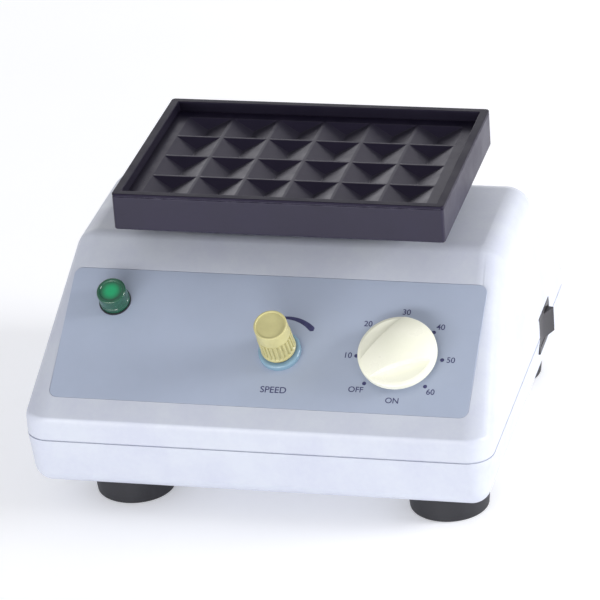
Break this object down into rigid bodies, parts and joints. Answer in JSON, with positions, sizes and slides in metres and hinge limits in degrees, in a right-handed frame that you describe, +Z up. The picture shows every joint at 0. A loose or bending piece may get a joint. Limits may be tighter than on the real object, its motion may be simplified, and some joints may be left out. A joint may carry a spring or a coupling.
{
  "type": "orbital mixer",
  "caption": "Bench tube and plate mixer: sloping-panel housing on rubber feet, speed and timer knobs, lamp, rocker switch, and a tray that orbits on cranks.",
  "frame": {"origin": "on the table under the middle of the housing", "axes": "+X to the right seen from the control panel, +Y to the back, +Z up"},
  "size_m": [0.2231, 0.1958, 0.135],
  "materials": {
    "bearing_bronze": "sintered bronze",
    "bearing_steel": "ground bearing steel",
    "black_alloy": "black anodised",
    "board_green": "green fibreglass board",
    "brass": "turned brass",
    "capacitor_yellow": "yellow moulded case",
    "carrier_alloy": "milled aluminium",
    "collar_plastic": "blue-grey moulded collar",
    "crank_brass": "turned brass, satin",
    "dark_plastic": "black moulded plastic",
    "foot_rubber": "matt black rubber",
    "fuse_glass": "clear tube",
    "housing_plastic": "light grey moulded plastic with a fine mottled texture",
    "lamp_green": "clear green plastic lens",
    "mat_rubber": "moulded dark rubber",
    "motor_steel": "grey painted can",
    "panel_sheet": "satin printed polyester sheet",
    "plate_steel": "zinc plated sheet",
    "screw_steel": "bright plated steel",
    "speed_plastic": "straw coloured moulded plastic",
    "terminal_green": "green moulded plastic",
    "timer_case": "cream phenolic case",
    "timer_plastic": "ivory moulded plastic",
    "tray_black": "black enamel with a violet cast"
  },
  "bodies": {
    "housing": {"base_shell": "housing_plastic", "cover_shell": "housing_plastic", "front_label": "panel_sheet", "feet": "foot_rubber", "foot_screws": "screw_steel", "cover_screws": "screw_steel", "deck_plate": "plate_steel", "deck_screws": "screw_steel", "motor_body": "motor_steel", "motor_end_cap": "dark_plastic", "motor_screws": "screw_steel", "idler_bushes": "bearing_bronze", "pot_body": "plate_steel", "pot_nut": "screw_steel", "speed_collar": "collar_plastic", "timer_body": "timer_case", "timer_screws": "screw_steel", "lamp_lens": "lamp_green", "lamp_body": "dark_plastic", "lamp_nut": "dark_plastic", "switch_body": "dark_plastic", "switch_terminals": "brass", "power_inlet": "dark_plastic", "inlet_blades": "brass", "inlet_screws": "screw_steel", "circuit_board": "board_green", "board_pillars": "brass", "board_screws": "screw_steel", "board_fuse": "fuse_glass", "fuse_clips": "brass", "filter_capacitor": "capacitor_yellow", "heat_sink": "black_alloy", "speed_triac": "dark_plastic", "terminal_block": "terminal_green"},
    "crank": {"motor_shaft": "bearing_steel", "drive_crank": "crank_brass", "crank_set_screw": "dark_plastic"},
    "tray": {"tray": "tray_black", "tray_mat": "mat_rubber", "tray_carrier": "carrier_alloy", "drive_bearing": "bearing_steel", "pin_bushes": "bearing_bronze", "carrier_screws": "screw_steel"},
    "idler_1": {"idler_crank_1": "bearing_steel", "idler_clip_1": "dark_plastic"},
    "idler_2": {"idler_crank_2": "bearing_steel", "idler_clip_2": "dark_plastic"},
    "idler_3": {"idler_crank_3": "bearing_steel", "idler_clip_3": "dark_plastic"},
    "idler_4": {"idler_crank_4": "bearing_steel", "idler_clip_4": "dark_plastic"},
    "speed_control": {"speed_knob": "speed_plastic", "speed_knob_cap": "speed_plastic", "pot_shaft": "bearing_steel"},
    "timer_control": {"timer_knob": "timer_plastic", "timer_shaft": "bearing_steel"},
    "rocker": {"rocker_paddle": "dark_plastic"}
  },
  "joints": [
    {"name": "crank_turn", "type": "hinge", "parent": "housing", "child": "crank", "pos_m": [0, 0.02217, 0.096], "axis": [0, 0, 1], "continuous": true},
    {"name": "tray_orbit", "type": "hinge", "parent": "crank", "child": "tray", "pos_m": [0.002, 0.02217, 0.112], "axis": [0, 0, 1], "continuous": true},
    {"name": "idler_1_turn", "type": "hinge", "parent": "housing", "child": "idler_1", "pos_m": [0.056, 0.00417, 0.096], "axis": [0, 0, 1], "continuous": true},
    {"name": "idler_2_turn", "type": "hinge", "parent": "housing", "child": "idler_2", "pos_m": [-0.056, 0.00417, 0.096], "axis": [0, 0, 1], "continuous": true},
    {"name": "idler_3_turn", "type": "hinge", "parent": "housing", "child": "idler_3", "pos_m": [0.056, 0.04017, 0.096], "axis": [0, 0, 1], "continuous": true},
    {"name": "idler_4_turn", "type": "hinge", "parent": "housing", "child": "idler_4", "pos_m": [-0.056, 0.04017, 0.096], "axis": [0, 0, 1], "continuous": true},
    {"name": "speed_turn", "type": "hinge", "parent": "housing", "child": "speed_control", "pos_m": [0.007, -0.06212, 0.07218], "axis": [0, -0.5446, 0.8387], "range_deg": [-270, 0]},
    {"name": "timer_turn", "type": "hinge", "parent": "housing", "child": "timer_control", "pos_m": [0.0628, -0.06212, 0.07218], "axis": [0, -0.5446, 0.8387], "range_deg": [-270, 45]},
    {"name": "rocker_tilt", "type": "hinge", "parent": "housing", "child": "rocker", "pos_m": [0.1069, 0.0405, 0.0392], "axis": [0, 0, 1], "range_deg": [0, 22]}
  ],
  "couplings": [
    {"joint": "tray_orbit", "follows": "crank_turn", "ratio": -1},
    {"joint": "idler_1_turn", "follows": "crank_turn", "ratio": 1},
    {"joint": "idler_2_turn", "follows": "crank_turn", "ratio": 1},
    {"joint": "idler_3_turn", "follows": "crank_turn", "ratio": 1},
    {"joint": "idler_4_turn", "follows": "crank_turn", "ratio": 1}
  ]
}
